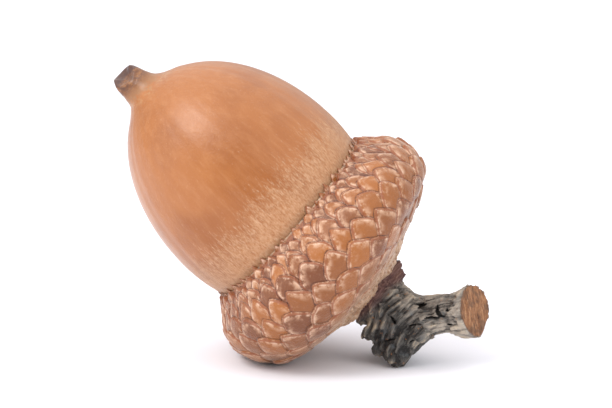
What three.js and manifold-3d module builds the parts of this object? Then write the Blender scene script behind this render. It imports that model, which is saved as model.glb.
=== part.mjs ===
// A northern red oak acorn lying on its side: the nut, the scaly cup that holds its base, and the
// stub of twig that the cup grew on. Units are millimetres and +Z is up. The acorn's axis lies in
// the XZ plane, its tip up towards -X and its twig low at +X. The origin is on the surface that
// the acorn rests on, below the middle of its bounding box.

import * as THREE from 'three';
import { mergeVertices } from 'three/addons/utils/BufferGeometryUtils.js';
import Module from 'manifold-3d';

const wasm = await Module();
wasm.setup();

// The clear gap between one piece and the next.
const GAP = 0.3;

// The nut, from its widest place: two half ellipsoids on one axis.
const NUT_RADIUS = 10.5;
const NUT_TIP_LENGTH = 15.15;
const NUT_BASE_LENGTH = 13;
const NUT_TILT = 44.9;
const NUT_CENTRE = new THREE.Vector3(-4.22, 0, 16.92);

// The beak is a short stub at the tip, a little off the nut's axis, with a sunken end.
const BEAK_RADIUS = 1.6;
const BEAK_FOOT = new THREE.Vector3(-0.35, 14.2, 0);
const BEAK_END = new THREE.Vector3(-1.24, 17.75, 0);

// The cup, from the centre of its rim. Tilts are in degrees, from upright towards -X.
const CUP_CENTRE = new THREE.Vector3(-1.41, 0, 14.12);
const CUP_TILT = 48.8;
const RIM_RADIUS = 10.35;
const CUP_RADIUS = 13.2;
const CUP_DEPTH = 11;
const CUP_FOOT_RADIUS = 4;
// The cup's base is a little out of square: its upper side is shallower than its lower side.
const BASE_SLANT = 0.06;

// The scales stand in columns down the cup, each column half a scale behind its neighbours. A
// scale's round tip points at the rim and stands proud of the one before it. The tips are a
// little out of line, and the rows are crowded towards the rim.
const SCALE_COLUMNS = 32;
const SCALE_ROWS = 11;
const SCALE_PITCH = 2.84;
const SCALE_LIFT = 0.36;
const FIRST_TIP = 0.18;
const RIM_CROWDING = 0.9;
const TIP_UNEVENNESS = 0.14;
const SIDE_UNEVENNESS = 0.07;

// The twig: where it leaves the cup, where it is cut, and what it stands on. Its collar sits a
// little above the cup's axis.
const COLLAR_RADIUS = 3.7;
const COLLAR_LENGTH = 2.8;
const COLLAR_SHIFT = 0.9;
const TWIG_START = new THREE.Vector3(8.3, -0.6, 5.2);
const TWIG_MIDDLE = new THREE.Vector3(12.4, -2.4, 4.8);
const TWIG_END = new THREE.Vector3(17.1, -4.6, 6.0);
const TWIG_RADIUS = 2.15;
const FRONT_FOOT = new THREE.Vector3(9.5, -4.1, 0.6);
const BACK_FOOT = new THREE.Vector3(10.0, 3.0, 0.6);
const SIDE_KNOB = new THREE.Vector3(6.6, -2.6, 3.0);

const { cos, sin, PI } = Math;

// A closed geometry as a solid that can be joined and cut.
function solid(geometry) {
  const bare = geometry.clone();
  bare.deleteAttribute('normal');
  bare.deleteAttribute('uv');
  const merged = mergeVertices(bare);
  const corners = merged.index.array;
  const kept = [];
  for (let i = 0; i < corners.length; i += 3) {
    const [a, b, c] = corners.slice(i, i + 3);
    if (a !== b && b !== c && c !== a) kept.push(a, b, c);
  }
  const vertProperties = new Float32Array(merged.attributes.position.array);
  const triVerts = new Uint32Array(kept);
  return new wasm.Manifold(new wasm.Mesh({ numProp: 3, vertProperties, triVerts }));
}

// The solid's surface as a geometry, with its normals.
function geometryOf(body) {
  const { vertProperties, triVerts } = body.getMesh();
  const geometry = new THREE.BufferGeometry();
  geometry.setAttribute('position', new THREE.BufferAttribute(vertProperties, 3));
  geometry.setIndex(new THREE.BufferAttribute(triVerts, 1));
  geometry.computeVertexNormals();
  return geometry;
}

function join(bodies) {
  return bodies.reduce((whole, body) => whole.add(body));
}

// Turns a shape that stands on its +Y axis upright, leans it by tilt degrees and moves it.
function leaning(centre, tilt) {
  const upright = new THREE.Matrix4().makeRotationX(PI / 2);
  const lean = new THREE.Matrix4().makeRotationY(THREE.MathUtils.degToRad(-tilt));
  return new THREE.Matrix4().setPosition(centre).multiply(lean).multiply(upright);
}

const nutPlace = leaning(NUT_CENTRE, NUT_TILT);
const cupPlace = leaning(CUP_CENTRE, CUP_TILT);

// A limb from start to end, as thick along the way as radii say, with a rounded far end. The
// bark's ridges are deep as a share of the radius.
function limb(start, end, radii, ridges = 0, sides = 14) {
  const length = start.distanceTo(end);
  const last = radii.length - 1;
  const profile = radii.map((radius, i) => new THREE.Vector2(radius, (length * i) / last));
  const outline = new THREE.SplineCurve(profile).getPoints(2 * last);
  const cap = new THREE.Vector2(0.6 * radii[last], length + 0.25 * radii[last]);
  const points = [new THREE.Vector2(0, 0), ...outline, cap, new THREE.Vector2(0, cap.y)];
  const geometry = new THREE.LatheGeometry(points, sides);
  const at = geometry.attributes.position;
  for (let i = 0; i < at.count; i += 1) {
    const angle = Math.atan2(at.getZ(i), at.getX(i));
    const twist = angle + 0.25 * at.getY(i);
    const swell = 1 + ridges * (0.6 * sin(3 * twist) + 0.4 * sin(5 * angle + at.getY(i)));
    at.setX(i, at.getX(i) * swell);
    at.setZ(i, at.getZ(i) * swell);
  }
  const along = new THREE.Vector3().subVectors(end, start).normalize();
  const turn = new THREE.Quaternion().setFromUnitVectors(new THREE.Vector3(0, 1, 0), along);
  geometry.applyQuaternion(turn);
  geometry.translate(start.x, start.y, start.z);
  return solid(geometry);
}

// The nut without its beak, on its own axis, grown outwards by extra.
function nutBody(extra, sides) {
  const radius = NUT_RADIUS + extra;
  const steps = 24;
  const points = [];
  for (let i = 0; i <= steps; i += 1) {
    const turn = -PI / 2 + (PI * i) / steps;
    const length = (turn < 0 ? NUT_BASE_LENGTH : NUT_TIP_LENGTH) + extra;
    points.push(new THREE.Vector2(i % steps ? radius * cos(turn) : 0, length * sin(turn)));
  }
  return new THREE.LatheGeometry(points, sides);
}

function beak() {
  const length = BEAK_FOOT.distanceTo(BEAK_END);
  const points = [
    new THREE.Vector2(0, 0),
    new THREE.Vector2(1.9 * BEAK_RADIUS, 0),
    new THREE.Vector2(1.3 * BEAK_RADIUS, 0.4 * length),
    new THREE.Vector2(BEAK_RADIUS, 0.65 * length),
    new THREE.Vector2(0.9 * BEAK_RADIUS, 0.92 * length),
    new THREE.Vector2(0.7 * BEAK_RADIUS, length),
    new THREE.Vector2(0.35 * BEAK_RADIUS, 0.97 * length),
    new THREE.Vector2(0, 0.92 * length),
  ];
  const geometry = new THREE.LatheGeometry(points, 20);
  const lean = Math.atan2(BEAK_FOOT.x - BEAK_END.x, BEAK_END.y - BEAK_FOOT.y);
  geometry.rotateZ(lean);
  geometry.translate(BEAK_FOOT.x, BEAK_FOOT.y, 0);
  return solid(geometry);
}

// The cup's outside under its scales, from the rim at y = 0 down to the foot that the twig holds.
// The x of each point is its radius.
const cupOutline = new THREE.SplineCurve([
  new THREE.Vector2(RIM_RADIUS, 0),
  new THREE.Vector2(0.87 * CUP_RADIUS, -0.12 * CUP_DEPTH),
  new THREE.Vector2(0.965 * CUP_RADIUS, -0.24 * CUP_DEPTH),
  new THREE.Vector2(CUP_RADIUS, -0.4 * CUP_DEPTH),
  new THREE.Vector2(0.97 * CUP_RADIUS, -0.56 * CUP_DEPTH),
  new THREE.Vector2(0.88 * CUP_RADIUS, -0.7 * CUP_DEPTH),
  new THREE.Vector2(0.73 * CUP_RADIUS, -0.81 * CUP_DEPTH),
  new THREE.Vector2(0.52 * CUP_RADIUS, -0.89 * CUP_DEPTH),
  new THREE.Vector2(CUP_FOOT_RADIUS, -CUP_DEPTH),
]);
const cupArc = cupOutline.getLength();

// How far the base's slant raises a point of the cup.
function slantAt(x, level) {
  return BASE_SLANT * x * THREE.MathUtils.smoothstep(-level, 0.45 * CUP_DEPTH, 0.8 * CUP_DEPTH);
}

// A point on the cup's outside: so far along from the rim, at an angle about the axis, and so
// high above the surface.
function onCup(along, angle, height) {
  const share = THREE.MathUtils.clamp(along / cupArc, 0, 1);
  const point = cupOutline.getPointAt(share);
  const tangent = cupOutline.getTangentAt(share);
  const radius = point.x - tangent.y * height;
  const x = radius * cos(angle);
  const level = point.y + tangent.x * height;
  return [x, level + slantAt(x, level), radius * sin(angle)];
}

// The room that the cup takes up with its scales and a gap round it.
function cupRoom() {
  const steps = 16;
  const floor = -CUP_DEPTH - GAP;
  const points = [new THREE.Vector2(0, floor), new THREE.Vector2(CUP_FOOT_RADIUS, floor)];
  for (let i = steps - 1; i >= 0; i -= 1) {
    const [, level, radius] = onCup((cupArc * i) / steps, PI / 2, SCALE_LIFT + GAP);
    points.push(new THREE.Vector2(radius, level));
  }
  points.push(new THREE.Vector2(0, points[points.length - 1].y));
  const geometry = new THREE.LatheGeometry(points, 48);
  const at = geometry.attributes.position;
  for (let i = 0; i < at.count; i += 1) {
    at.setY(i, at.getY(i) + slantAt(at.getX(i), at.getY(i)));
  }
  return geometry;
}

// How far from the rim the tips of a row stand. Each row is half a scale behind the last one.
function tipOf(row) {
  const crowded = RIM_CROWDING * (1 - Math.exp(-0.7 * row));
  return FIRST_TIP + 0.5 * SCALE_PITCH * (row - crowded);
}

// The edge of one scale round its tip, from shoulder to shoulder: each point once at the scale's
// own height and once on the scales that it lies over.
function scaleEdge(add, row, column) {
  const swell = 1 - 0.35 * (row / SCALE_ROWS) ** 2;
  const lift = SCALE_LIFT * swell * (row < 2 ? 0.6 : 1);
  const tip = Math.max(tipOf(row) + TIP_UNEVENNESS * sin(5 * column + 3 * row), 0);
  const middle = column + SIDE_UNEVENNESS * sin(3 * column + 7 * row);
  const arch = 0.36 * SCALE_PITCH * Math.min(1, 0.4 + 0.2 * row);
  const rounds = [[-0.5, 1, 0.55], [-0.36, 0.38, 0.9], [0, 0, 1], [0.36, 0.38, 0.9], [0.5, 1, 0.55]];
  return rounds.map(([side, back, height]) => {
    const across = Math.abs(side) === 0.5 ? column + side : middle + side;
    const angle = (2 * PI * across) / SCALE_COLUMNS;
    const along = tip + arch * back;
    return { high: add(along, angle, lift * height), low: add(along, angle, 0) };
  });
}

// The scaly outside of the cup as one closed body, filled in from the rim to the axis.
function scalyBody() {
  const positions = [];
  const faces = [];
  const add = (along, angle, height) => positions.push(...onCup(along, angle, height)) / 3 - 1;
  const fan = (hub, ring) => {
    ring.forEach((corner, i) => faces.push(hub, corner, ring[(i + 1) % ring.length]));
  };

  const edges = [];
  for (let row = 0; row < SCALE_ROWS + 2; row += 1) {
    edges.push([]);
    for (let column = row % 2; column < SCALE_COLUMNS; column += 2) {
      edges[row][column] = scaleEdge(add, row, column);
    }
  }
  const edgeAt = (row, column) => edges[row][(column + SCALE_COLUMNS) % SCALE_COLUMNS];

  for (let row = 0; row < SCALE_ROWS; row += 1) {
    for (let column = row % 2; column < SCALE_COLUMNS; column += 2) {
      const edge = edgeAt(row, column);
      const right = edgeAt(row + 1, column + 1)[0].low;
      const left = edgeAt(row + 1, column - 1)[4].low;
      const before = edgeAt(row + 2, column).map((point) => point.low).reverse();
      const middle = tipOf(row) + 0.55 * SCALE_PITCH;
      const hub = add(middle, (2 * PI * column) / SCALE_COLUMNS, 0.5 * SCALE_LIFT + 0.06);
      fan(hub, [...edge.map((point) => point.high), right, ...before, left]);
      for (let i = 0; i < 4; i += 1) {
        faces.push(edge[i].high, edge[i].low, edge[i + 1].low);
        faces.push(edge[i].high, edge[i + 1].low, edge[i + 1].high);
      }
      faces.push(edge[4].high, edge[4].low, right);
      faces.push(edge[0].high, left, edge[0].low);
    }
  }

  const ringOf = (row) => {
    const ring = [];
    for (let column = 0; column < SCALE_COLUMNS; column += 1) {
      const edge = edgeAt(row + ((column + row) % 2), column);
      ring.push(...edge.map((point) => point.low));
    }
    return ring;
  };
  const top = positions.push(0, 0.4, 0) / 3 - 1;
  fan(top, ringOf(0).reverse());
  const foot = positions.push(0, -CUP_DEPTH, 0) / 3 - 1;
  const last = ringOf(SCALE_ROWS);
  const footRing = last.map((_, i) => add(cupArc, (2 * PI * (i / 5 - 0.4)) / SCALE_COLUMNS, 0));
  last.forEach((corner, i) => {
    const next = (i + 1) % last.length;
    faces.push(corner, last[next], footRing[next], corner, footRing[next], footRing[i]);
  });
  fan(foot, footRing);

  const geometry = new THREE.BufferGeometry();
  geometry.setAttribute('position', new THREE.Float32BufferAttribute(positions, 3));
  geometry.setIndex(faces);
  return geometry;
}

// The surface that the acorn rests on, as a block to cut with: what touches it is worn flat.
function ground() {
  const block = new THREE.BoxGeometry(80, 80, 20);
  block.translate(0, 0, -10);
  return solid(block);
}

function placed(geometry, place) {
  return solid(geometry.applyMatrix4(place));
}

function nut() {
  return geometryOf(solid(nutBody(0, 48)).add(beak()));
}

function cap() {
  const hollow = placed(nutBody(GAP, 48), nutPlace);
  return geometryOf(placed(scalyBody(), cupPlace).subtract(hollow).subtract(ground()));
}

function stem() {
  const collarTop = new THREE.Vector3(COLLAR_SHIFT, -CUP_DEPTH, 0).applyMatrix4(cupPlace);
  const collarEnd = new THREE.Vector3(COLLAR_SHIFT, -CUP_DEPTH - COLLAR_LENGTH, 0);
  collarEnd.applyMatrix4(cupPlace);
  const collar = limb(collarTop, collarEnd, [COLLAR_RADIUS, 0.9 * COLLAR_RADIUS, 2.6], 0.04, 20);
  const start = limb(TWIG_START, TWIG_MIDDLE, [2.7, 2.6, TWIG_RADIUS], 0.08);
  const end = limb(TWIG_MIDDLE, TWIG_END, [TWIG_RADIUS, TWIG_RADIUS, 2.6], 0.06);
  const frontFoot = limb(TWIG_START, FRONT_FOOT, [2.6, 2.8, 2.5, 1.2], 0.08);
  const backFoot = limb(TWIG_START, BACK_FOOT, [2.6, 2.5, 1.9, 1.1], 0.08);
  const knobRoot = new THREE.Vector3().lerpVectors(TWIG_START, FRONT_FOOT, 0.55);
  const knob = limb(knobRoot, SIDE_KNOB, [1.2, 0.8, 0.6], 0, 10);
  const whole = join([collar, start, end, frontFoot, backFoot, knob]);
  return geometryOf(whole.subtract(placed(cupRoom(), cupPlace)).subtract(ground()));
}

function addMesh(group, name, geometry, colour, roughness) {
  const material = new THREE.MeshStandardMaterial({ color: colour, roughness, metalness: 0 });
  const mesh = new THREE.Mesh(geometry, material);
  mesh.name = name;
  group.add(mesh);
  return mesh;
}

const acorn = new THREE.Group();
const nutMesh = addMesh(acorn, 'nut', nut(), 0xcf8a55, 0.4);
nutMesh.applyMatrix4(nutPlace);
addMesh(acorn, 'cap', cap(), 0xb07a55, 0.75);
addMesh(acorn, 'stem', stem(), 0x6b6057, 0.9);

export default acorn;
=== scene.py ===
"""A northern red oak acorn lying on its side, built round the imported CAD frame.

The three CAD nodes are replaced by finer pieces that hold the same places: the nut with its down,
the cup with its scales and the fringe at its rim, and the twig with its bark. Working sizes are in
millimetres, turned into metres where a mesh is made.
"""

import itertools
import math

import bpy
import numpy as np
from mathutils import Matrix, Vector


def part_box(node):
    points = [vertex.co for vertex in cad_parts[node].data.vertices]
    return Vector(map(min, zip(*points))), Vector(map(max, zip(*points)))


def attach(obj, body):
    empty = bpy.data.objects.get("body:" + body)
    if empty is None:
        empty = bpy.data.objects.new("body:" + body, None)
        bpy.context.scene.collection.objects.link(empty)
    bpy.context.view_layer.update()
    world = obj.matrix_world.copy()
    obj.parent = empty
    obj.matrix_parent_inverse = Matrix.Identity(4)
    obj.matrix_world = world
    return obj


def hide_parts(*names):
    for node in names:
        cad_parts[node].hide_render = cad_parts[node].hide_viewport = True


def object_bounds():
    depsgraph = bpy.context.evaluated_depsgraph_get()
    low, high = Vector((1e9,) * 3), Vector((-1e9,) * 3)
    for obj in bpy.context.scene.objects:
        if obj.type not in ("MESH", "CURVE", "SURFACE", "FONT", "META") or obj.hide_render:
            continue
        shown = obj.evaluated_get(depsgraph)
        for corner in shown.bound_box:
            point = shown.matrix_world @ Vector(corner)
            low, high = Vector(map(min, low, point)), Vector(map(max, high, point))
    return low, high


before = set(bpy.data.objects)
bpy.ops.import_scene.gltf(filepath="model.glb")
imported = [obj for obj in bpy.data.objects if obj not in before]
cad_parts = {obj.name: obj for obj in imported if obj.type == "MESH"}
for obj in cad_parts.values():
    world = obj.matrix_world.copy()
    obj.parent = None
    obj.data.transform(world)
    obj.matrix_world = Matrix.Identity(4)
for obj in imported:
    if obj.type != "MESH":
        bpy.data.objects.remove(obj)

import openvdb
from mathutils import Vector

cad_low, cad_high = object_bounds()

MM = 0.001


def node_box(node):
    """The lowest and highest corners of a CAD node, in millimetres."""
    low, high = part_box(node)
    return np.array(low) / MM, np.array(high) / MM


def in_box(node, *shares):
    """The point that lies the given shares of the way across a CAD node's box."""
    low, high = node_box(node)
    return low + (high - low) * np.array(shares)


def axes_for(tilt):
    """Unit vectors along, up across and level across an axis that leans by tilt degrees to -X."""
    lean = math.radians(tilt)
    along = np.array([-math.sin(lean), 0.0, math.cos(lean)])
    across = np.array([math.cos(lean), 0.0, math.sin(lean)])
    level = np.array([0.0, -1.0, 0.0])
    return along, across, level


def around(centre, axes, along, out, side):
    """Points so far along an axis through the centre, up across it and level across it."""
    axis, across, level = axes
    return centre + along[..., None] * axis + out[..., None] * across + side[..., None] * level


def smooth(start, end, value):
    """0 up to start, 1 from end on and an easy curve between. Start may be the greater."""
    share = np.clip((value - start) / (end - start), 0, 1)
    return share * share * (3 - 2 * share)


# Random values at the corners of a lattice of cubes, which repeats after so many cubes.
CELLS = 48
LATTICE_SEED = 5
LATTICE = np.random.default_rng(LATTICE_SEED).uniform(-1, 1, (CELLS, CELLS, CELLS))
OCTAVE_SHIFT = 7.3


def rough(points, size, octaves=3):
    """Smooth noise of about -1 to 1 at each point, its largest lumps size millimetres across."""
    total = 0
    for octave in range(octaves):
        spot = np.asarray(points) / size * 2 ** octave + OCTAVE_SHIFT * octave
        floor = np.floor(spot)
        share = smooth(0, 1, spot - floor)
        low = floor.astype(int) % CELLS
        high = (low + 1) % CELLS
        sides = [((low[..., i], 1 - share[..., i]), (high[..., i], share[..., i])) for i in range(3)]
        for (x, x_share), (y, y_share), (z, z_share) in itertools.product(*sides):
            total = total + x_share * y_share * z_share * LATTICE[x, y, z] / 2 ** octave
    return total


def add_piece(name, points, faces, material, replaces, attributes):
    """A smooth mesh in the frame, riding on the one body, with float attributes on its points."""
    mesh = bpy.data.meshes.new(name)
    mesh.from_pydata((np.asarray(points) * MM).tolist(), [], [tuple(f) for f in faces])
    for key, values in attributes.items():
        layer = mesh.attributes.new(key, "FLOAT", "POINT")
        layer.data.foreach_set("value", np.asarray(values, np.float32))
    mesh.validate()
    mesh.shade_smooth()
    mesh.materials.append(material)
    piece = bpy.data.objects.new(name, mesh)
    bpy.context.scene.collection.objects.link(piece)
    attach(piece, "root")
    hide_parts(replaces)


def ring_faces(rings, spokes, closed=True):
    """Quads between rings of points, where each ring goes right round if it is closed."""
    row = np.arange(rings - 1)[:, None] * spokes
    column = np.arange(spokes if closed else spokes - 1)[None, :]
    after = (column + 1) % spokes
    quads = np.stack([row + column, row + after, row + spokes + after, row + spokes + column], -1)
    return quads.reshape(-1, 4).tolist()


def hub_faces(first, spokes, hub, outward):
    """A fan between a hub and the ring of points that starts at first."""
    fan = []
    for spoke in range(spokes):
        a, b = first + spoke, first + (spoke + 1) % spokes
        fan.append((a, b, hub) if outward else (b, a, hub))
    return fan


def close_rings(points, spokes):
    """Rings of points with a hub added at either end, and the faces of the closed surface."""
    rings = len(points) // spokes
    hub = len(points)
    faces = ring_faces(rings, spokes)
    faces += hub_faces(0, spokes, hub, outward=False)
    faces += hub_faces((rings - 1) * spokes, spokes, hub + 1, outward=True)
    return np.vstack([points, points[:spokes].mean(0), points[-spokes:].mean(0)]), faces


# ---------------------------------------------------------------------------------------------
# Materials

SHEEN_ROUGHNESS = 0.35
SHEEN_TINT = (1.0, 0.86, 0.74, 1.0)
COAT_ROUGHNESS = 0.38

# How far the nut's and the cup's axes lean to -X, in degrees.
NUT_TILT = 44.9
CUP_TILT = 48.8


class Nodes:
    """A material's node tree, with short ways to add the nodes used here."""

    def __init__(self, name):
        self.material = bpy.data.materials.new(name)
        self.material.use_nodes = True
        self.tree = self.material.node_tree
        self.shader = self.tree.nodes["Principled BSDF"]

    def add(self, kind, **settings):
        """A new node of this kind, with its settings."""
        made = self.tree.nodes.new(kind)
        for key, value in settings.items():
            setattr(made, key, value)
        return made

    def link(self, source, target):
        """Joins a node's output to an input socket."""
        self.tree.links.new(source, target)

    def feed(self, socket, value):
        """Gives an input socket a constant or another node's output."""
        if isinstance(value, bpy.types.NodeSocket):
            self.link(value, socket)
        elif isinstance(value, tuple):
            socket.default_value = (*value, 1.0)[: len(socket.default_value)]
        else:
            socket.default_value = value

    def attribute(self, name):
        """The value of that name on the mesh's points."""
        return self.add("ShaderNodeAttribute", attribute_name=name).outputs["Fac"]

    def place(self, stretch=(1, 1, 1), tilt=0.0):
        """Object coordinates in millimetres, with Z along an axis that leans to -X.

        They are multiplied by stretch, so a share below 1 draws a noise out that way.
        """
        source = self.add("ShaderNodeTexCoord").outputs["Object"]
        mapping = self.add("ShaderNodeMapping", vector_type="TEXTURE")
        mapping.inputs["Scale"].default_value = [MM / s for s in stretch]
        mapping.inputs["Rotation"].default_value = (0, -math.radians(tilt), 0)
        self.link(source, mapping.inputs["Vector"])
        return mapping.outputs["Vector"]

    def noise(self, where, scale, detail=3.0, roughness=0.55):
        """Noise of 0 to 1 with about scale lumps to a millimetre."""
        made = self.add("ShaderNodeTexNoise")
        self.link(where, made.inputs["Vector"])
        made.inputs["Scale"].default_value = scale
        made.inputs["Detail"].default_value = detail
        made.inputs["Roughness"].default_value = roughness
        return made.outputs["Fac"]

    def math(self, operation, *values):
        """One step of arithmetic on constants or other nodes' outputs."""
        made = self.add("ShaderNodeMath", operation=operation)
        for socket, value in zip(made.inputs, values):
            self.feed(socket, value)
        return made.outputs["Value"]

    def swing(self, noise, size):
        """How far a noise is from its middle value, times a size."""
        return self.math("MULTIPLY", self.math("SUBTRACT", noise, 0.5), size)

    def weigh(self, *parts):
        """The sum of two values, each times its weight."""
        first, second = (self.math("MULTIPLY", value, weight) for value, weight in parts)
        return self.math("ADD", first, second)

    def span(self, value, low, high, to_low=0.0, to_high=1.0):
        """Maps low to high onto to_low to to_high along an easy curve."""
        made = self.add("ShaderNodeMapRange", interpolation_type="SMOOTHSTEP")
        for socket, given in zip(made.inputs, (value, low, high, to_low, to_high)):
            self.feed(socket, given)
        return made.outputs["Result"]

    def mix(self, share, first, second):
        """The first colour where the share is 0, the second where it is 1."""
        made = self.add("ShaderNodeMix", data_type="RGBA", blend_type="MIX")
        self.feed(made.inputs["Factor"], share)
        self.feed(made.inputs[6], first)
        self.feed(made.inputs[7], second)
        return made.outputs[2]

    def ramp(self, value, *stops):
        """Colours along a value, each stop a position and a colour."""
        made = self.add("ShaderNodeValToRGB")
        self.link(value, made.inputs["Fac"])
        elements = made.color_ramp.elements
        while len(elements) < len(stops):
            elements.new(0.5)
        for element, (position, colour) in zip(elements, stops):
            element.position = position
            element.color = (*colour, 1.0)
        return made.outputs["Color"]

    def bump(self, height, distance, before=None):
        """A normal for relief of so many millimetres, on top of the normal before it."""
        made = self.add("ShaderNodeBump")
        made.inputs["Strength"].default_value = 1.0
        made.inputs["Distance"].default_value = distance * MM
        self.link(height, made.inputs["Height"])
        if before:
            self.link(before, made.inputs["Normal"])
        return made.outputs["Normal"]

    def finish(self, colour, roughness, normal, specular, sheen=0.0, coat=0.0):
        """Joins the looks to the shader, the same gloss all over, and gives the material."""
        self.feed(self.shader.inputs["Base Color"], colour)
        self.feed(self.shader.inputs["Roughness"], roughness)
        self.feed(self.shader.inputs["Normal"], normal)
        self.shader.inputs["Specular IOR Level"].default_value = specular
        self.shader.inputs["Sheen Weight"].default_value = sheen
        self.shader.inputs["Sheen Roughness"].default_value = SHEEN_ROUGHNESS
        self.shader.inputs["Sheen Tint"].default_value = SHEEN_TINT
        self.shader.inputs["Coat Weight"].default_value = coat
        self.shader.inputs["Coat Roughness"].default_value = COAT_ROUGHNESS
        return self.material


def shell_colour(n, even, streaks):
    """The nut's orange-brown shell, with broad clouds, streaks along the nut and dark specks."""
    broad = n.noise(even, 0.14, 2.0)
    specks = n.noise(even, 5.0, 3.0, 0.65)
    base = n.mix(n.span(broad, 0.38, 0.62), (0.295, 0.084, 0.007), (0.365, 0.118, 0.019))
    base = n.mix(n.span(streaks, 0.40, 0.75, 0.0, 0.35), base, (0.46, 0.19, 0.065))
    return n.mix(n.span(specks, 0.52, 0.75, 0.0, 0.3), base, (0.30, 0.085, 0.015))


def add_down(n, base, streaks, hairs):
    """Lays pale tufts of down over the shell by the cup, paints shadow as a thin darker band right at
    the cup's rim, and gives where the tufts are too.
    """
    down = n.attribute("down")
    dense = n.span(n.math("ADD", down, n.swing(streaks, 0.8)), 0.1, 0.95, 0.74, 0.28)
    tufts = n.span(n.math("SUBTRACT", hairs, dense), -0.18, 0.28)
    downy = n.ramp(
        hairs, (0.3, (0.44, 0.21, 0.09)), (0.55, (0.58, 0.33, 0.17)), (0.75, (0.72, 0.48, 0.31)))
    base = n.mix(n.math("MULTIPLY", tufts, 0.6), base, downy)
    # Painted shadow: a darker brown band on the shell right at the cup's rim, where the rim shades the
    # nut.
    base = n.mix(n.span(down, 0.93, 1.0, 0.0, 0.45), base, (0.24, 0.13, 0.06))
    return base, tufts


def add_beak(n, base, even):
    """Darkens the nut's tip to a mottled brown beak, with a pale ring before it and a dark scar."""
    tip = n.attribute("tip")
    mottle = n.noise(even, 2.2, 4.0, 0.7)
    zone = n.math("ADD", tip, n.swing(mottle, 0.7))
    pale_ring = n.math("MULTIPLY", n.span(zone, 0.1, 0.3), n.span(mottle, 0.45, 0.62))
    base = n.mix(n.math("MULTIPLY", pale_ring, 0.45), base, (0.48, 0.28, 0.13))
    base = n.mix(n.span(zone, 0.25, 0.50, 0.0, 0.75), base, (0.25, 0.105, 0.030))
    brown = n.ramp(
        mottle, (0.3, (0.040, 0.009, 0.002)), (0.5, (0.15, 0.046, 0.007)), (0.7, (0.31, 0.125, 0.030)))
    base = n.mix(n.span(zone, 0.46, 0.82), base, brown)
    return n.mix(n.span(tip, 0.962, 0.988, 0.0, 0.8), base, (0.050, 0.013, 0.008))


def nutshell_material():
    """Satin orange-brown shell, paler and downy by the cup with painted shadow right at its rim, and a
    dark scarred beak.
    """
    n = Nodes("nutshell")
    even = n.place()
    streaks = n.noise(n.place((1, 1, 0.10), NUT_TILT), 1.5, 4.0, 0.6)
    hairs = n.noise(n.place((1, 1, 0.3), NUT_TILT), 6.5, 3.0, 0.7)
    fine = n.noise(even, 4.0, 4.0, 0.6)
    base, tufts = add_down(n, shell_colour(n, even, streaks), streaks, hairs)
    colour = add_beak(n, base, even)
    normal = n.bump(n.weigh((fine, 0.7), (streaks, 0.3)), 0.06)
    normal = n.bump(n.math("MULTIPLY", hairs, tufts), 0.06, normal)
    roughness = n.math("ADD", n.span(tufts, 0, 1, 0.33, 0.54), n.math("MULTIPLY", fine, 0.08))
    return n.finish(colour, roughness, normal, specular=0.4, sheen=0.08, coat=0.5)


def scale_body(n, patch, fuzz):
    """A scale's colour: brown with patchy pale bloom, and in a dark margin a patchy pale line, partly
    its own pale edge and partly painted highlight.
    """
    edge = n.attribute("edge")
    low = n.attribute("low")
    centre = n.mix(n.attribute("tone"), (0.155, 0.040, 0.006), (0.352, 0.110, 0.014))
    centre = n.mix(n.math("MULTIPLY", low, 0.9), centre, (0.36, 0.195, 0.105))
    pale = n.mix(low, (0.58, 0.34, 0.21), (0.565, 0.395, 0.265))
    bloom = n.math("MULTIPLY", n.span(edge, 0.25, 1.1, 1.0, 0.0), n.span(patch, 0.40, 0.65))
    body = n.mix(n.math("MULTIPLY", bloom, 0.9), centre, pale)
    body = n.mix(n.span(fuzz, 0.55, 0.8, 0.0, 0.3), body, (0.52, 0.30, 0.18))
    body = n.mix(n.span(fuzz, 0.22, 0.42, 0.4, 0.0), body, (0.15, 0.038, 0.010))
    # Partly painted highlight: a thin pale line just inside each scale's margin, the scale's pale edge
    # with light on its lip painted in, shown only in patches.
    pale_edge_and_highlight = n.math("MULTIPLY", n.span(edge, 0.16, 0.24), n.span(edge, 0.26, 0.40, 1.0, 0.0))
    in_patches = n.span(n.math("ADD", fuzz, patch), 0.9, 1.25, 0.0, 0.7)
    body = n.mix(n.math("MULTIPLY", pale_edge_and_highlight, in_patches), body, (0.66, 0.46, 0.34))
    return n.mix(n.span(edge, 0.10, 0.26, 0.75, 0.0), body, (0.25, 0.064, 0.018))


def scale_material():
    """Satin brown scales with pale bloom, dark lines of painted shade in the crevices where they
    overlap, and felt by the foot.
    """
    n = Nodes("scales")
    even = n.place()
    patch = n.noise(even, 1.3, 3.0, 0.6)
    fuzz = n.noise(even, 5.0, 3.0, 0.7)
    fibres = n.noise(n.place((1, 1, 0.2), CUP_TILT), 2.4, 4.0, 0.65)
    felt = n.ramp(
        fibres, (0.28, (0.20, 0.085, 0.040)), (0.48, (0.46, 0.27, 0.155)), (0.68, (0.70, 0.52, 0.37)))
    felted = n.math("MULTIPLY", n.attribute("fused"), 0.75)
    body = n.mix(felted, scale_body(n, patch, fuzz), felt)
    # Painted shade: dark reddish lines in the crevices where one scale lies over the next.
    crevice_shade = n.math("SUBTRACT", 1.0, n.span(n.attribute("gap"), 0.08, 0.2))
    line = n.math("MULTIPLY", crevice_shade, n.span(patch, 0.3, 0.6, 0.95, 0.6))
    colour = n.mix(line, body, (0.085, 0.017, 0.006))
    normal = n.bump(n.weigh((fuzz, 0.6), (patch, 0.4)), 0.11)
    roughness = n.span(patch, 0.3, 0.7, 0.36, 0.52)
    return n.finish(colour, roughness, normal, specular=0.55, sheen=0.38)


def grain_vector(n):
    """The bark's own coordinates, drawn out along the twig."""
    grain = n.add("ShaderNodeCombineXYZ")
    n.feed(grain.inputs["X"], n.attribute("across"))
    n.feed(grain.inputs["Y"], n.attribute("over"))
    n.feed(grain.inputs["Z"], n.math("MULTIPLY", n.attribute("length"), 0.16))
    return grain.outputs["Vector"]


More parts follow.
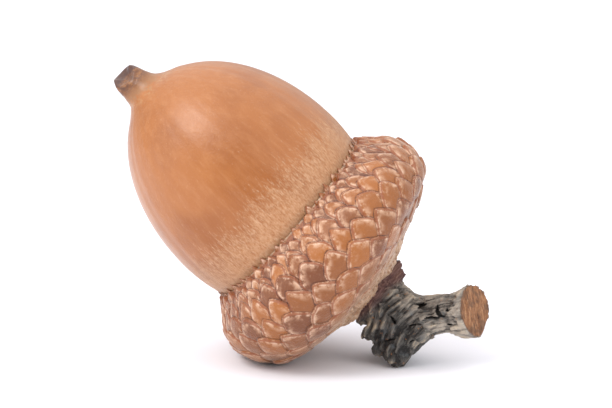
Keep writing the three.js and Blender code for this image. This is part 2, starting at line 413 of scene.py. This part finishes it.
def weathered_grey(n, even, fine, blotch):
    """Grey bark with pale ridges, paler towards the cut end, with blotches and orange flecks."""
    speckle = n.noise(even, 6.0, 3.0, 0.7)
    flecks = n.noise(even, 2.2, 2.0)
    lifted = n.math("ADD", n.span(n.attribute("ridge"), -0.35, 0.3), n.swing(fine, 1.5))
    dark = n.ramp(lifted, (0.12, (0.016, 0.014, 0.013)), (0.4, (0.088, 0.082, 0.074)),
                  (0.66, (0.20, 0.180, 0.155)), (0.9, (0.50, 0.40, 0.28)))
    light = n.ramp(lifted, (0.12, (0.040, 0.033, 0.028)), (0.4, (0.28, 0.245, 0.205)),
                   (0.66, (0.48, 0.415, 0.34)), (0.9, (0.60, 0.50, 0.38)))
    # Darker near the cup's foot and paler towards the cut end.
    grey = n.mix(n.span(n.attribute("length"), 5.0, 8.5), dark, light)
    grey = n.mix(n.span(blotch, 0.52, 0.7, 0.0, 0.5), grey, (0.13, 0.15, 0.16))
    grey = n.mix(n.span(speckle, 0.60, 0.78, 0.0, 0.45), grey, (0.45, 0.36, 0.25))
    return n.mix(n.span(flecks, 0.66, 0.72, 0.0, 0.6), grey, (0.36, 0.16, 0.06))


def cut_wood(n, fibre, blotch):
    """Raw orange-brown wood, dark where it has begun to rot."""
    orange = n.ramp(
        fibre, (0.32, (0.09, 0.035, 0.018)), (0.47, (0.31, 0.13, 0.052)), (0.66, (0.52, 0.27, 0.13)))
    rot = n.math("MULTIPLY", n.span(blotch, 0.46, 0.60), 0.6)
    return n.mix(rot, orange, (0.115, 0.062, 0.038))


def bark_material():
    """Weathered grey bark, reddish and torn by the cup, and raw wood at the cut end."""
    n = Nodes("bark")
    even = n.place()
    blotch = n.noise(even, 0.9, 4.0, 0.6)
    fine = n.noise(grain_vector(n), 5.0, 5.0, 0.75)
    fibre = n.noise(n.place((1, 1, 0.22)), 3.2, 4.0, 0.75)
    torn = n.ramp(
        fine, (0.3, (0.04, 0.018, 0.02)), (0.5, (0.15, 0.07, 0.06)), (0.75, (0.42, 0.27, 0.20)))
    colour = n.mix(n.attribute("collar"), weathered_grey(n, even, fine, blotch), torn)
    colour = n.mix(n.attribute("wood"), colour, cut_wood(n, fibre, blotch))
    normal = n.bump(n.weigh((fine, 0.6), (fibre, 0.4)), 0.34)
    roughness = n.span(fine, 0.3, 0.7, 0.55, 0.8)
    return n.finish(colour, roughness, normal, specular=0.35)


# ---------------------------------------------------------------------------------------------
# The nut

NUT_LOW, NUT_HIGH = node_box("nut")
NUT_RADIUS = (NUT_HIGH[1] - NUT_LOW[1]) / 2
NUT_TIP_LENGTH = 1.443 * NUT_RADIUS
NUT_BASE_LENGTH = 1.238 * NUT_RADIUS
# The middle of the nut's widest ring.
NUT_CENTRE = in_box("nut", 0.5422, 0.5, 0.4757)
NUT_AXES = axes_for(NUT_TILT)
NUT_ALONG, NUT_ACROSS, _ = NUT_AXES
NUT_SPOKES = 240
BODY_RINGS = 170
BEAK_RINGS = 46

# The beak: how far along the nut, how thick, and how far off the axis it is there.
BEAK_ALONG = [14.0, 14.5, 14.8, 15.1, 15.6, 16.2, 16.8, 17.3, 17.65]
BEAK_RADIUS = [4.02, 3.36, 2.78, 2.34, 1.95, 1.7, 1.56, 1.46, 1.3]
BEAK_OFFSET = [0.0, 0.1, 0.3, 0.55, 0.82, 0.95, 1.06, 1.16, 1.22]
BEAK_END_SLANT = 0.75
# How many rings before the beak are eased into it, and how many times.
NECK_RINGS = 6
EASE_PASSES = 6

# The scar: rings that turn inwards over the beak's end and sink into it, as shares of the beak's
# last radius and depths below the scar's lip.
SCAR_LIP = 0.08
SCAR_SHARE = np.array([0.93, 0.82, 0.68, 0.5, 0.32, 0.15])
SCAR_DEPTH = np.array([-0.03, 0.0, 0.12, 0.3, 0.42, 0.46])


def nut_radius(along):
    """The nut's radius so far along from its widest place, without the beak."""
    length = np.where(along > 0, NUT_TIP_LENGTH, NUT_BASE_LENGTH)
    return NUT_RADIUS * np.sqrt(np.clip(1 - (along / length) ** 2, 0, 1))


def nut_point(along, angle, radius, offset=0.0):
    """Points round the nut's axis, at angle 0 on its upper side."""
    return around(NUT_CENTRE, NUT_AXES, along, radius * np.cos(angle) - offset, radius * np.sin(angle))


def ease_end(values, count):
    """Rounds off the last values, all but the very last, by averaging each with its neighbours."""
    for _ in range(EASE_PASSES):
        values[-count:-1] = (values[-count - 1:-2] + 2 * values[-count:-1] + values[-count + 1:]) / 4


def nut_profile():
    """The nut's rings from base to scar: how far along, how thick and how far off the axis."""
    turn = np.linspace(-0.985, 0.86, BODY_RINGS) * math.pi / 2
    along = np.where(turn < 0, NUT_BASE_LENGTH, NUT_TIP_LENGTH) * np.sin(turn)
    along = along[along < BEAK_ALONG[0]]
    along = np.concatenate([along, np.linspace(BEAK_ALONG[0], BEAK_ALONG[-1], BEAK_RINGS)])
    on_body = along < BEAK_ALONG[0]
    radius = np.where(on_body, nut_radius(along), np.interp(along, BEAK_ALONG, BEAK_RADIUS))
    offset = np.where(on_body, 0, np.interp(along, BEAK_ALONG, BEAK_OFFSET))
    ease_end(radius, BEAK_RINGS + NECK_RINGS)
    ease_end(offset, BEAK_RINGS + NECK_RINGS)
    along = np.concatenate([along, BEAK_ALONG[-1] + SCAR_LIP - SCAR_DEPTH])
    radius = np.concatenate([radius, BEAK_RADIUS[-1] * SCAR_SHARE])
    offset = np.concatenate([offset, np.full(len(SCAR_DEPTH), BEAK_OFFSET[-1])])
    return along, radius, offset


def nut_relief(along, angle, radius):
    """The nut's radius made a little uneven, with faint ribs along it and creases on the beak."""
    ribs = 0.012 * np.sin(23 * angle + 2 * np.sin(3 * angle)) + 0.01 * np.sin(41 * angle)
    shell = radius * (1 + 0.004 * np.sin(3 * angle + 1)) + ribs * smooth(0.5, 6, radius)
    creases = 0.05 * np.sin(3 * angle) + 0.04 * np.sin(5 * angle + 1)
    return shell * (1 + smooth(14.6, 17.0, along) * creases)


def build_nut(material):
    """The nut: rings that narrow into the bent beak, with its slanted end and sunken scar."""
    along, radius, offset = nut_profile()
    angle = np.arange(NUT_SPOKES) * 2 * math.pi / NUT_SPOKES
    grid_along, grid_angle = np.meshgrid(along, angle, indexing="ij")
    grid_radius = nut_relief(grid_along, grid_angle, np.repeat(radius[:, None], NUT_SPOKES, 1))
    slant = BEAK_END_SLANT * smooth(16.2, 17.5, grid_along)
    slanted = grid_along - slant * grid_radius * np.maximum(np.sin(grid_angle), -0.3)
    points = nut_point(slanted, grid_angle, grid_radius, offset[:, None]).reshape(-1, 3)
    shake = rough(points, 1.0) * 0.09 * smooth(14.8, 16.5, grid_along.ravel())
    points, faces = close_rings(points + shake[:, None] * NUT_ACROSS, NUT_SPOKES)
    add_piece("nut_shell", points, faces, material, "nut", {
        "down": smooth(9.0, -0.5, (points - CUP_CENTRE) @ CUP_ALONG),
        "tip": smooth(13.5, 17.8, (points - NUT_CENTRE) @ NUT_ALONG),
    })


# ---------------------------------------------------------------------------------------------
# The cup and its scales

CUP_AXES = axes_for(CUP_TILT)
CUP_ALONG, CUP_ACROSS, _ = CUP_AXES
# The middle of the cup's rim, and how far across its axis it lies from the CAD cup's.
CUP_SHIFT = 0.22
CUP_CENTRE = in_box("cap", 0.34662, 0.5, 0.63432) * (1, 0, 1) + CUP_SHIFT * CUP_ACROSS
CUP_RADIUS = 13.2
CUP_DEPTH = 11.0
RIM_RADIUS = 10.35
FOOT_RADIUS = 4.0
BASE_SLANT = 0.06
CUP_SPOKES = 900
CUP_RINGS = 186
HOLLOW_RINGS = 24
HOLLOW_GAP = 0.08
# How far the hollow goes down, as a share of the way from the rim to the nut's base.
HOLLOW_REACH = 0.99

# The cup's outline under its scales, from rim to foot, as shares of its radius and its depth.
OUTLINE = np.array([
    (RIM_RADIUS / CUP_RADIUS, 0.0), (0.87, 0.12), (0.965, 0.24), (1.0, 0.4), (0.97, 0.56),
    (0.88, 0.7), (0.73, 0.81), (0.52, 0.89), (FOOT_RADIUS / CUP_RADIUS, 1.0),
])
SPAN_STEPS = 30
LINE_STEPS = 400


def spline_point(a, b, c, d, share):
    """A point so far from b to c on the smooth curve through four points, by Catmull and Rom."""
    return 0.5 * (2 * b + (c - a) * share + (2 * a - 5 * b + 4 * c - d) * share ** 2
                  + (3 * b - a - 3 * c + d) * share ** 3)


def smooth_outline():
    """The outline as a smooth line: its length from the rim, radius and level, and outward normal."""
    corners = OUTLINE * (CUP_RADIUS, -CUP_DEPTH)
    ends = np.vstack([2 * corners[0] - corners[1], corners, 2 * corners[-1] - corners[-2]])
    line = []
    for a, b, c, d in zip(ends, ends[1:], ends[2:], ends[3:]):
        for share in np.linspace(0, 1, SPAN_STEPS, endpoint=False):
            line.append(spline_point(a, b, c, d, share))
    line = np.array(line + [corners[-1]])
    length = np.concatenate([[0], np.cumsum(np.linalg.norm(np.diff(line, axis=0), axis=1))])
    spaced = np.linspace(0, length[-1], LINE_STEPS)
    line = np.stack([np.interp(spaced, length, line[:, i]) for i in (0, 1)], -1)
    way = np.gradient(line, axis=0)
    way /= np.linalg.norm(way, axis=1)[:, None]
    return spaced, line, np.stack([-way[:, 1], way[:, 0]], -1)


LINE_LENGTH, LINE, LINE_NORMAL = smooth_outline()
CUP_ARC = LINE_LENGTH[-1]


def on_line(along, values):
    """The outline's values so far along it from the rim."""
    return np.interp(along, LINE_LENGTH, values)


def cup_point(along, angle, height):
    """Points on the cup: so far from the rim, at an angle about the axis and so high above it."""
    radius = on_line(along, LINE[:, 0]) + height * on_line(along, LINE_NORMAL[:, 0])
    level = on_line(along, LINE[:, 1]) + height * on_line(along, LINE_NORMAL[:, 1])
    out = radius * np.cos(angle)
    lower_slant = np.minimum(out, 0) * smooth(0.45 * CUP_DEPTH, 0.8 * CUP_DEPTH, -level)
    upper_slant = np.maximum(out, 0) * smooth(0.62 * CUP_DEPTH, 0.8 * CUP_DEPTH, -level)
    level = level + BASE_SLANT * (lower_slant + upper_slant)
    return around(CUP_CENTRE, CUP_AXES, level, out, radius * np.sin(angle))


def rim_level(angle):
    """How far along the nut from its widest place the cup's rim lies, at an angle round the cup."""
    edge = RIM_RADIUS * (CUP_ACROSS @ NUT_ALONG) * np.cos(angle)
    return (CUP_CENTRE - NUT_CENTRE) @ NUT_ALONG + edge


def settle(points):
    """Presses what would go below the ground flat onto it."""
    points[:, 2] = np.maximum(points[:, 2], 0.0)
    return points


SCALE_SEED = 11
SCALE_TURN = 0.09
# The rows of scales: how far their tips lie from the rim, how many go round, and half their width.
SCALE_ROWS = (
    (0.0, 36, 0.72), (0.5, 36, 0.8), (1.1, 36, 0.9), (1.8, 18, 1.15), (2.55, 18, 1.3), (3.4, 18, 1.5),
    (4.4, 18, 1.65), (5.6, 18, 1.8), (6.9, 18, 1.9), (8.25, 18, 1.95), (9.6, 18, 1.9), (10.9, 18, 1.75),
    (12.1, 18, 1.5), (13.2, 12, 1.7), (14.3, 12, 1.45), (15.3, 9, 1.5), (16.2, 9, 1.3),
)


def scale_outline(theta, half_width, front, irregular):
    """How far a scale reaches from its middle in each direction: a tongue with an off-centre tip."""
    power = 1.2 + 0.5 * irregular[1]
    reach = (np.abs(np.cos(theta)) / half_width) ** power + (np.abs(np.sin(theta)) / front) ** power
    reach = reach ** (-1 / power)
    apex = math.pi / 2 + 0.6 * (irregular[2] - 0.5)
    reach = reach * (1 + 0.12 * irregular[3] * np.exp(-((theta - apex) / 0.35) ** 2))
    return reach * (1 + 0.012 * np.sin(5 * theta + 6 * irregular[4]))


class CupSurface:
    """The cup's outside as a fine grid of heights that scales are laid on, from rim to foot."""

    def __init__(self, spokes, rings):
        self.angle = np.arange(spokes) * 2 * math.pi / spokes
        self.along = np.linspace(-0.02, CUP_ARC, rings)
        shape = (rings, spokes)
        self.height = np.full(shape, -0.15)
        self.edge = np.zeros(shape)
        self.gap = np.full(shape, 1.0)
        self.tone = np.full(shape, 0.5)

    def lay(self, tip, angle, half_width, front, back, lift, irregular):
        """Lays one scale over what is there, its blunt tip towards the rim.

        It reaches front and back from its widest place, and irregular holds its own random values.
        """
        middle = tip + front
        rows = np.nonzero((self.along > tip - 0.6) & (self.along < middle + back + 0.3))[0]
        radius = on_line(self.along[rows], LINE[:, 0])
        turn = (self.angle - angle + math.pi) % (2 * math.pi) - math.pi
        columns = np.nonzero(np.abs(turn) * radius.min() < half_width + 0.5)[0]
        x = turn[columns][None, :] * radius[:, None]
        y = (middle - self.along[rows])[:, None] + 0 * x
        tilt = 0.4 * (irregular[0] - 0.5)
        x, y = x * math.cos(tilt) - y * math.sin(tilt), x * math.sin(tilt) + y * math.cos(tilt)
        outline = scale_outline(np.arctan2(np.maximum(y, 0), x), half_width, front, irregular)
        away = np.hypot(x, np.maximum(y, 0))
        inside = np.minimum(outline - away, y + back)
        cover = smooth(-0.04, 0.04, inside)
        rise = np.clip((y + back) / (front + back), 0, 1.1)
        dome = 0.3 * lift * (1 - np.clip(away / outline, 0, 1) ** 2)
        height = lift * rise + dome - 0.07 * smooth(0.16, 0.0, inside)
        window = np.ix_(rows, columns)
        self.height[window] += (height - self.height[window]) * cover
        self.edge[window] += (inside - self.edge[window]) * cover
        self.tone[window] += (irregular[6] - self.tone[window]) * cover
        outside = np.minimum(self.gap[window], np.maximum(-inside, 0))
        self.gap[window] = outside + (1.0 - outside) * cover


def lay_scales(surface):
    """Lays every row of scales, those nearer the foot over those nearer the rim."""
    generator = np.random.default_rng(SCALE_SEED)
    for index, (tip, count, half_width) in enumerate(SCALE_ROWS):
        after = SCALE_ROWS[index + 1][0] if index + 1 < len(SCALE_ROWS) else tip + 0.9
        pitch = after - tip
        front = min((1.25 - 0.02 * tip) * half_width, 2.1)
        lift = min(0.16 + 0.26 * pitch, 0.52) * (1 - 0.3 * float(smooth(9.0, 15.0, tip)))
        for column in range(count):
            place = column + 0.5 * (index % 2) + generator.normal(0, 0.04)
            surface.lay(
                tip=tip + generator.normal(0, 0.12) * pitch,
                angle=place * 2 * math.pi / count + SCALE_TURN,
                half_width=half_width * (1 + generator.normal(0, 0.05)),
                front=front * (1 + generator.normal(0, 0.08)),
                back=1.2 + 1.5 * pitch,
                lift=lift * (1 + generator.normal(0, 0.15)),
                irregular=generator.random(7),
            )


# The grooves where scales overlap, how deep the bases of the scales lie under the outline, and how
# far from the rim the scales turn paler and then grow together into the felted foot.
GROOVE_DEPTH = 0.09
GROOVE_WIDTH = 0.1
SCALES_SUNK = 0.14
PALER_FROM = 8.5
PALER_TO = 15.0
FUSED_FROM = 10.8
FUSED_TO = 14.5


def cup_heights(surface, grid_along, grid_angle, fused):
    """The scales' heights with grooves between them, small unevenness, and fibres by the foot."""
    flat = cup_point(grid_along, grid_angle, np.zeros_like(grid_along))
    across_grain = np.stack([grid_angle * 9, grid_along * 0.35, 0 * grid_along], -1)
    felt = 0.12 * rough(across_grain, 0.35, 2) + 0.30 * rough(flat, 1.6, 2)
    height = surface.height - GROOVE_DEPTH * np.exp(-(surface.gap / GROOVE_WIDTH) ** 2)
    height = height + 0.02 * rough(flat, 0.5, 2) + fused * felt
    return height + 0.10 * rough(flat, 6.0, 1) - SCALES_SUNK


def hollow_rings(angle):
    """Rings of points down the cup's hollow round the nut, from the rim to the nut's base."""
    rim = rim_level(angle)
    rings = []
    for share in np.linspace(0, 1, HOLLOW_RINGS):
        along = rim - share * (NUT_BASE_LENGTH + rim) * HOLLOW_REACH
        rings.append(nut_point(along, angle, nut_radius(along) + HOLLOW_GAP))
    return rings


def build_cup(material):
    """The cup: scales outside from foot to rim, then the hollow down round the nut."""
    surface = CupSurface(CUP_SPOKES, CUP_RINGS)
    lay_scales(surface)
    grid_along, grid_angle = np.meshgrid(surface.along, surface.angle, indexing="ij")
    fused = smooth(FUSED_FROM, FUSED_TO, grid_along)
    height = cup_heights(surface, grid_along, grid_angle, fused)
    outer = cup_point(grid_along, grid_angle, height)[::-1].reshape(-1, 3)
    points, faces = close_rings(np.vstack([outer, *hollow_rings(surface.angle)]), CUP_SPOKES)
    spare = len(points) - len(outer)
    attributes = {
        key: np.concatenate([values[::-1].ravel(), np.full(spare, rest)])
        for key, values, rest in (
            ("edge", surface.edge, 0.5), ("gap", surface.gap, 1.0), ("tone", surface.tone, 0.4),
            ("low", smooth(PALER_FROM, PALER_TO, grid_along), 1.0), ("fused", fused, 1.0),
        )
    }
    add_piece("cup_scales", settle(points), faces, material, "cap", attributes)


FRINGE_SEED = 4
FRINGE_COUNT = 84
FRINGE_ROWS = 7
FRINGE_COLUMNS = 5
FRINGE_THICKNESS = 0.07
# How far below the rim each tip starts.
FRINGE_ROOT = 0.5
# What the scales' material reads on the fringe, where nothing overlaps.
FRINGE_LOOKS = {"gap": 0.7, "tone": 0.7, "low": 0.0, "fused": 0.0}


def build_fringe(material):
    """Narrow pointed scale tips that stand out past the rim and lean on the nut."""
    generator = np.random.default_rng(FRINGE_SEED)
    rows = np.linspace(0, 1, FRINGE_ROWS)
    columns = np.linspace(-1, 1, FRINGE_COLUMNS)
    share, across = np.meshgrid(rows, columns, indexing="ij")
    cells = ring_faces(FRINGE_ROWS, FRINGE_COLUMNS, closed=False)
    points, faces, edge = [], [], []
    for tip in range(FRINGE_COUNT):
        turn = (tip + generator.normal(0, 0.25)) * 2 * math.pi / FRINGE_COUNT
        half_width = generator.uniform(0.3, 0.6)
        reach = generator.uniform(0.0, 0.65)
        lean = generator.normal(0, 0.15)
        width = half_width * (1 - share ** 1.6) + 0.03
        level = rim_level(turn) - FRINGE_ROOT + (reach + FRINGE_ROOT) * share
        angle = turn + (across * width + lean * share) / RIM_RADIUS
        rise = 0.26 - 0.15 * share - 0.04 * across ** 2
        for thick in (0.0, FRINGE_THICKNESS):
            first = len(points) * across.size
            sheet = nut_point(level, angle, nut_radius(level) + rise - thick)
            points.append(sheet.reshape(-1, 3))
            edge.append((width * (1 - np.abs(across))).ravel())
            turned = cells if thick else [cell[::-1] for cell in cells]
            faces += [[first + corner for corner in cell] for cell in turned]
    points = np.vstack(points)
    attributes = {"edge": np.concatenate(edge) + 0.1}
    attributes.update((key, np.full(len(points), value)) for key, value in FRINGE_LOOKS.items())
    add_piece("cup_fringe", points, faces, material, "cap", attributes)


# ---------------------------------------------------------------------------------------------
# The twig

STEM_LOW, STEM_HIGH = node_box("stem")

# The twig's limbs, each from one ball to another with a radius at either end.
TWIG_LIMBS = (
    ((8.4, -0.7, 5.6), 2.5, (12.0, -2.5, 4.7), 1.85),
    ((12.0, -2.5, 4.7), 1.85, (14.6, -3.5, 5.3), 1.72),
    ((14.6, -3.5, 5.3), 1.72, (17.6, -4.85, 6.0), 2.8),
    ((15.6, -4.2, 4.6), 1.2, (17.9, -5.0, 4.35), 1.15),
    ((13.3, -3.4, 4.75), 1.4, (9.6, -4.2, 1.45), 1.25),
    ((9.7, -2.2, 4.0), 2.3, (9.5, -4.15, 1.25), 1.25),
    ((9.0, -1.6, 3.6), 2.2, (10.0, 2.2, 1.2), 1.3),
    ((8.6, -2.4, 2.9), 1.6, (6.6, -2.9, 3.05), 0.62),
    ((8.6, -3.2, 1.9), 1.1, (7.45, -3.4, 1.55), 0.6),
    ((7.4, 0.0, 6.4), 2.9, (9.0, -0.8, 5.0), 2.3),
    ((8.6, -0.9, 6.6), 1.2, (10.1, -0.8, 8.7), 0.42),
    ((8.0, -0.4, 7.4), 1.3, (9.75, -0.4, 9.6), 0.40),
    ((7.2, -1.4, 4.8), 0.9, (5.9, -1.3, 4.05), 0.32),
)
CUT_CENTRE = np.array([17.1, -4.6, 5.95])
CUT_NORMAL = np.array([0.80, -0.57, 0.20])
# The line that the bark's ridges follow, from the front foot up through the twig to its cut end.
GRAIN_LINE = np.array([
    (8.6, -4.6, -1.5), (9.4, -4.2, 0.8), (10.4, -3.3, 3.0),
    (12.0, -2.9, 4.4), (14.5, -3.5, 5.2), (17.6, -4.9, 6.0),
])
LIMB_BLEND = 0.7
# Farther off than anything that matters on the twig.
FAR = 9.0


def along_segment(points, start, end):
    """How far along a segment each point's nearest place is, and how far away it is."""
    start, end = np.array(start), np.array(end)
    way = end - start
    share = np.clip((points - start) @ way / (way @ way), 0, 1)
    return share, np.linalg.norm(points - start - share[..., None] * way, axis=-1)


def soft_least(first, second, blend):
    """The lesser of two distances, rounded off where they are alike."""
    overlap = np.clip(0.5 + 0.5 * (second - first) / blend, 0, 1)
    return second + (first - second) * overlap - blend * overlap * (1 - overlap)


def twig_body(points):
    """Distance to the twig without its bark's relief, negative inside."""
    distance = np.full(len(points), FAR)
    for start, start_radius, end, end_radius in TWIG_LIMBS:
        share, away = along_segment(points, start, end)
        radius = start_radius + (end_radius - start_radius) * share
        distance = soft_least(distance, away - radius, LIMB_BLEND)
    return distance


def grain_place(points):
    """Points in the bark's own frame: across its grain twice, and along it."""
    best = np.full(len(points), np.inf)
    place = np.zeros((len(points), 3))
    passed = 0.0
    for start, end in zip(GRAIN_LINE, GRAIN_LINE[1:]):
        share, away = along_segment(points, start, end)
        way = end - start
        length = np.linalg.norm(way)
        side = np.cross(way / length, (0, 1, 0))
        offset = points - start - share[:, None] * way
        over = offset @ np.cross(side, way / length)
        here = np.stack([offset @ side, over, passed + share * length], -1)
        nearer = away < best
        place[nearer] = here[nearer]
        best = np.minimum(best, away)
        passed += length
    return place


# Cracks in the bark as seen from the front: a line of X and Z places, a half width and a depth.
CRACKS = (
    (((11.45, 5.75), (12.0, 6.05), (12.55, 6.25)), 0.16, 0.6),
    (((12.2, 5.05), (12.9, 5.1), (13.7, 5.3)), 0.09, 0.5),
    (((13.45, 6.3), (13.5, 5.8), (13.75, 5.4), (14.25, 5.25)), 0.22, 0.9),
    (((14.3, 5.85), (14.6, 6.0)), 0.13, 0.6),
    (((8.2, 2.45), (8.8, 2.75), (9.5, 3.0)), 0.08, 0.4),
    (((8.7, 5.1), (9.2, 4.7), (9.3, 4.3)), 0.11, 0.5),
    (((10.4, 4.1), (11.4, 4.3), (12.4, 4.55)), 0.06, 0.35),
    (((14.3, 4.6), (14.9, 4.6)), 0.12, 0.4),
    (((10.6, 2.5), (11.3, 3.1)), 0.08, 0.4),
)
# The cracks are only in the bark in front of this Y.
CRACKS_BACK = -2.0
TWIG_STEP = 0.1
GRID_MARGIN_LOW = (0.5, 0.7, 0.4)
GRID_MARGIN_HIGH = (0.6, 0.6, 0.5)
OUTSIDE = 3.0
# How far the twig goes up into the cup's foot.
FOOT_OVERLAP = 0.35


def past_cut(points):
    """How far points lie beyond the plane of the cut end."""
    return (points - CUT_CENTRE) @ CUT_NORMAL / np.linalg.norm(CUT_NORMAL)


def above_foot(points):
    """How far points lie above the level of the cup's foot, along the cup's axis."""
    return (points - CUP_CENTRE) @ CUP_ALONG + CUP_DEPTH


def bark_relief(skin):
    """How far the bark stands out at each point: ridges along the grain and broader lumps."""
    ridges = rough(grain_place(skin) * (1, 1, 0.22), 0.5, 3)
    return 0.32 * np.abs(ridges) ** 0.8 - 0.2 + 0.11 * rough(skin, 2.2, 2) + 0.06 * rough(skin, 0.45, 2)


def cut_cracks(skin, distance):
    """Distance to the twig with its cracks cut into the bark, each tapering to its ends."""
    flat = skin[:, [0, 2]] + 0.12 * np.stack([rough(skin, 0.5, 2), rough(skin + 9, 0.5, 2)], -1)
    for line, half_width, depth in CRACKS:
        slot = np.full(len(skin), FAR)
        for index, (start, end) in enumerate(zip(line, line[1:])):
            share, away = along_segment(flat, start, end)
            taper = 0.25 + 0.75 * np.sin(math.pi * (index + share) / (len(line) - 1))
            slot = np.minimum(slot, away - half_width * taper)
        slot = np.maximum(slot, -distance - depth)
        slot = np.maximum(slot, skin[:, 1] - CRACKS_BACK)
        distance = np.maximum(distance, -slot)
    return distance


def twig_distance(points):
    """Distance to the whole twig: barked, cut off with torn fibres, on the ground and by the cup."""
    distance = twig_body(points)
    near = np.abs(distance) < 0.75
    skin = points[near]
    distance[near] = cut_cracks(skin, distance[near] - bark_relief(skin))
    face = past_cut(points)
    close = np.abs(face) < 1.0
    face[close] += 0.07 * rough(points[close] * (1, 1, 0.25), 0.5, 3)
    distance = np.maximum(distance, face)
    distance = np.maximum(distance, -points[:, 2])
    return np.maximum(distance, above_foot(points) - FOOT_OVERLAP)


def build_twig(material):
    """The twig: the surface where a fine grid of its distances passes through nothing."""
    low = STEM_LOW - GRID_MARGIN_LOW
    high = STEM_HIGH + GRID_MARGIN_HIGH
    counts = np.ceil((high - low) / TWIG_STEP).astype(int)
    sides = [np.arange(count) * TWIG_STEP + start for count, start in zip(counts, low)]
    points = np.stack(np.meshgrid(*sides, indexing="ij"), -1).reshape(-1, 3)
    distance = np.clip(twig_distance(points), -1, 1).reshape(counts)
    volume = openvdb.FloatGrid(OUTSIDE)
    volume.copyFromArray(distance.astype(np.float32))
    corners, quads = volume.convertToQuads(0.0)
    corners = corners.astype(float) * TWIG_STEP + low

    body = twig_body(corners)
    from_axis = (corners - CUP_CENTRE) @ CUP_ACROSS
    place = grain_place(corners)
    add_piece("twig", corners, quads.tolist(), material, "stem", {
        "ridge": body,
        "wood": smooth(-0.16, -0.04, past_cut(corners)) * smooth(0.0, -0.3, body),
        "collar": smooth(1.5, 0.4, -above_foot(corners) - 0.55 * np.maximum(from_axis - 1.5, 0)),
        "across": place[:, 0],
        "over": place[:, 1],
        "length": place[:, 2],
    })


# ---------------------------------------------------------------------------------------------
# Stage, light and camera. Places and sizes are in metres here.

SKY_LOW = 0.40
SKY_HIGH = 1.80
SKY_COLOUR = (0.985, 0.985, 1.0, 1.0)
FLOOR_SIZE = 4.0
# The lamps: where each is from the object's middle, its size and its watts.
LAMPS = (
    ("key", (-0.22, -0.20, 0.30), (0.16, 0.16), 0.78),
    ("left", (-0.32, -0.12, 0.07), (0.25, 0.25), 0.24),
    ("right", (0.30, -0.25, 0.15), (0.25, 0.25), 0.26),
)
LENS = 135
CAMERA_ELEVATION = 10
CAMERA_TARGET = Vector((0.00051, 0.0, 0.01566))
# How wide the camera's view is at its target.
FRAME_WIDTH = 0.0612


def build_sky():
    """Soft even light that grows from the horizon up."""
    world = bpy.data.worlds.new("studio")
    bpy.context.scene.world = world
    world.use_nodes = True
    tree = world.node_tree
    direction = tree.nodes.new("ShaderNodeTexCoord")
    parts = tree.nodes.new("ShaderNodeSeparateXYZ")
    sky = tree.nodes.new("ShaderNodeMapRange")
    sky.inputs["From Min"].default_value = 0.0
    sky.inputs["To Min"].default_value = SKY_LOW
    sky.inputs["To Max"].default_value = SKY_HIGH
    tree.links.new(direction.outputs["Generated"], parts.inputs["Vector"])
    tree.links.new(parts.outputs["Z"], sky.inputs["Value"])
    background = tree.nodes["Background"]
    background.inputs["Color"].default_value = SKY_COLOUR
    tree.links.new(sky.outputs["Result"], background.inputs["Strength"])


def build_floor():
    """A wide pale floor of matt paper."""
    bpy.ops.mesh.primitive_plane_add(size=FLOOR_SIZE, location=(0, 0, 0))
    floor = bpy.context.object
    floor.name = "floor"
    paper = Nodes("paper")
    grain = paper.noise(paper.place(), 0.02, 2.0)
    colour = paper.mix(grain, (0.88, 0.88, 0.925), (0.895, 0.895, 0.94))
    paper.feed(paper.shader.inputs["Base Color"], colour)
    paper.shader.inputs["Roughness"].default_value = 0.9
    paper.shader.inputs["Specular IOR Level"].default_value = 0.1
    floor.data.materials.append(paper.material)


def build_lamps():
    """Large soft lamps that face the object's middle."""
    middle = Vector((cad_low + cad_high) / 2)
    for name, place, size, watts in LAMPS:
        lamp = bpy.data.lights.new(name, "AREA")
        lamp.energy = watts
        lamp.shape = "RECTANGLE"
        lamp.size, lamp.size_y = size
        holder = bpy.data.objects.new(name, lamp)
        holder.location = middle + Vector(place)
        holder.rotation_euler = (middle - holder.location).to_track_quat("-Z", "Y").to_euler()
        bpy.context.scene.collection.objects.link(holder)


def build_camera():
    """A camera that looks slightly down along +Y."""
    camera_data = bpy.data.cameras.new("camera")
    camera_data.lens = LENS
    camera_data.clip_start = 0.01
    camera_data.clip_end = 10
    camera = bpy.data.objects.new("camera", camera_data)
    elevation = math.radians(CAMERA_ELEVATION)
    back = Vector((0, -math.cos(elevation), math.sin(elevation)))
    distance = camera_data.lens / camera_data.sensor_width * FRAME_WIDTH
    camera.location = CAMERA_TARGET + back * distance
    camera.rotation_euler = (-back).to_track_quat("-Z", "Y").to_euler()
    bpy.context.scene.collection.objects.link(camera)
    bpy.context.scene.camera = camera


bpy.context.scene.view_settings.view_transform = "Standard"
build_sky()
build_floor()
build_lamps()
build_camera()
build_nut(nutshell_material())
cup_skin = scale_material()
build_cup(cup_skin)
build_fringe(cup_skin)
build_twig(bark_material())
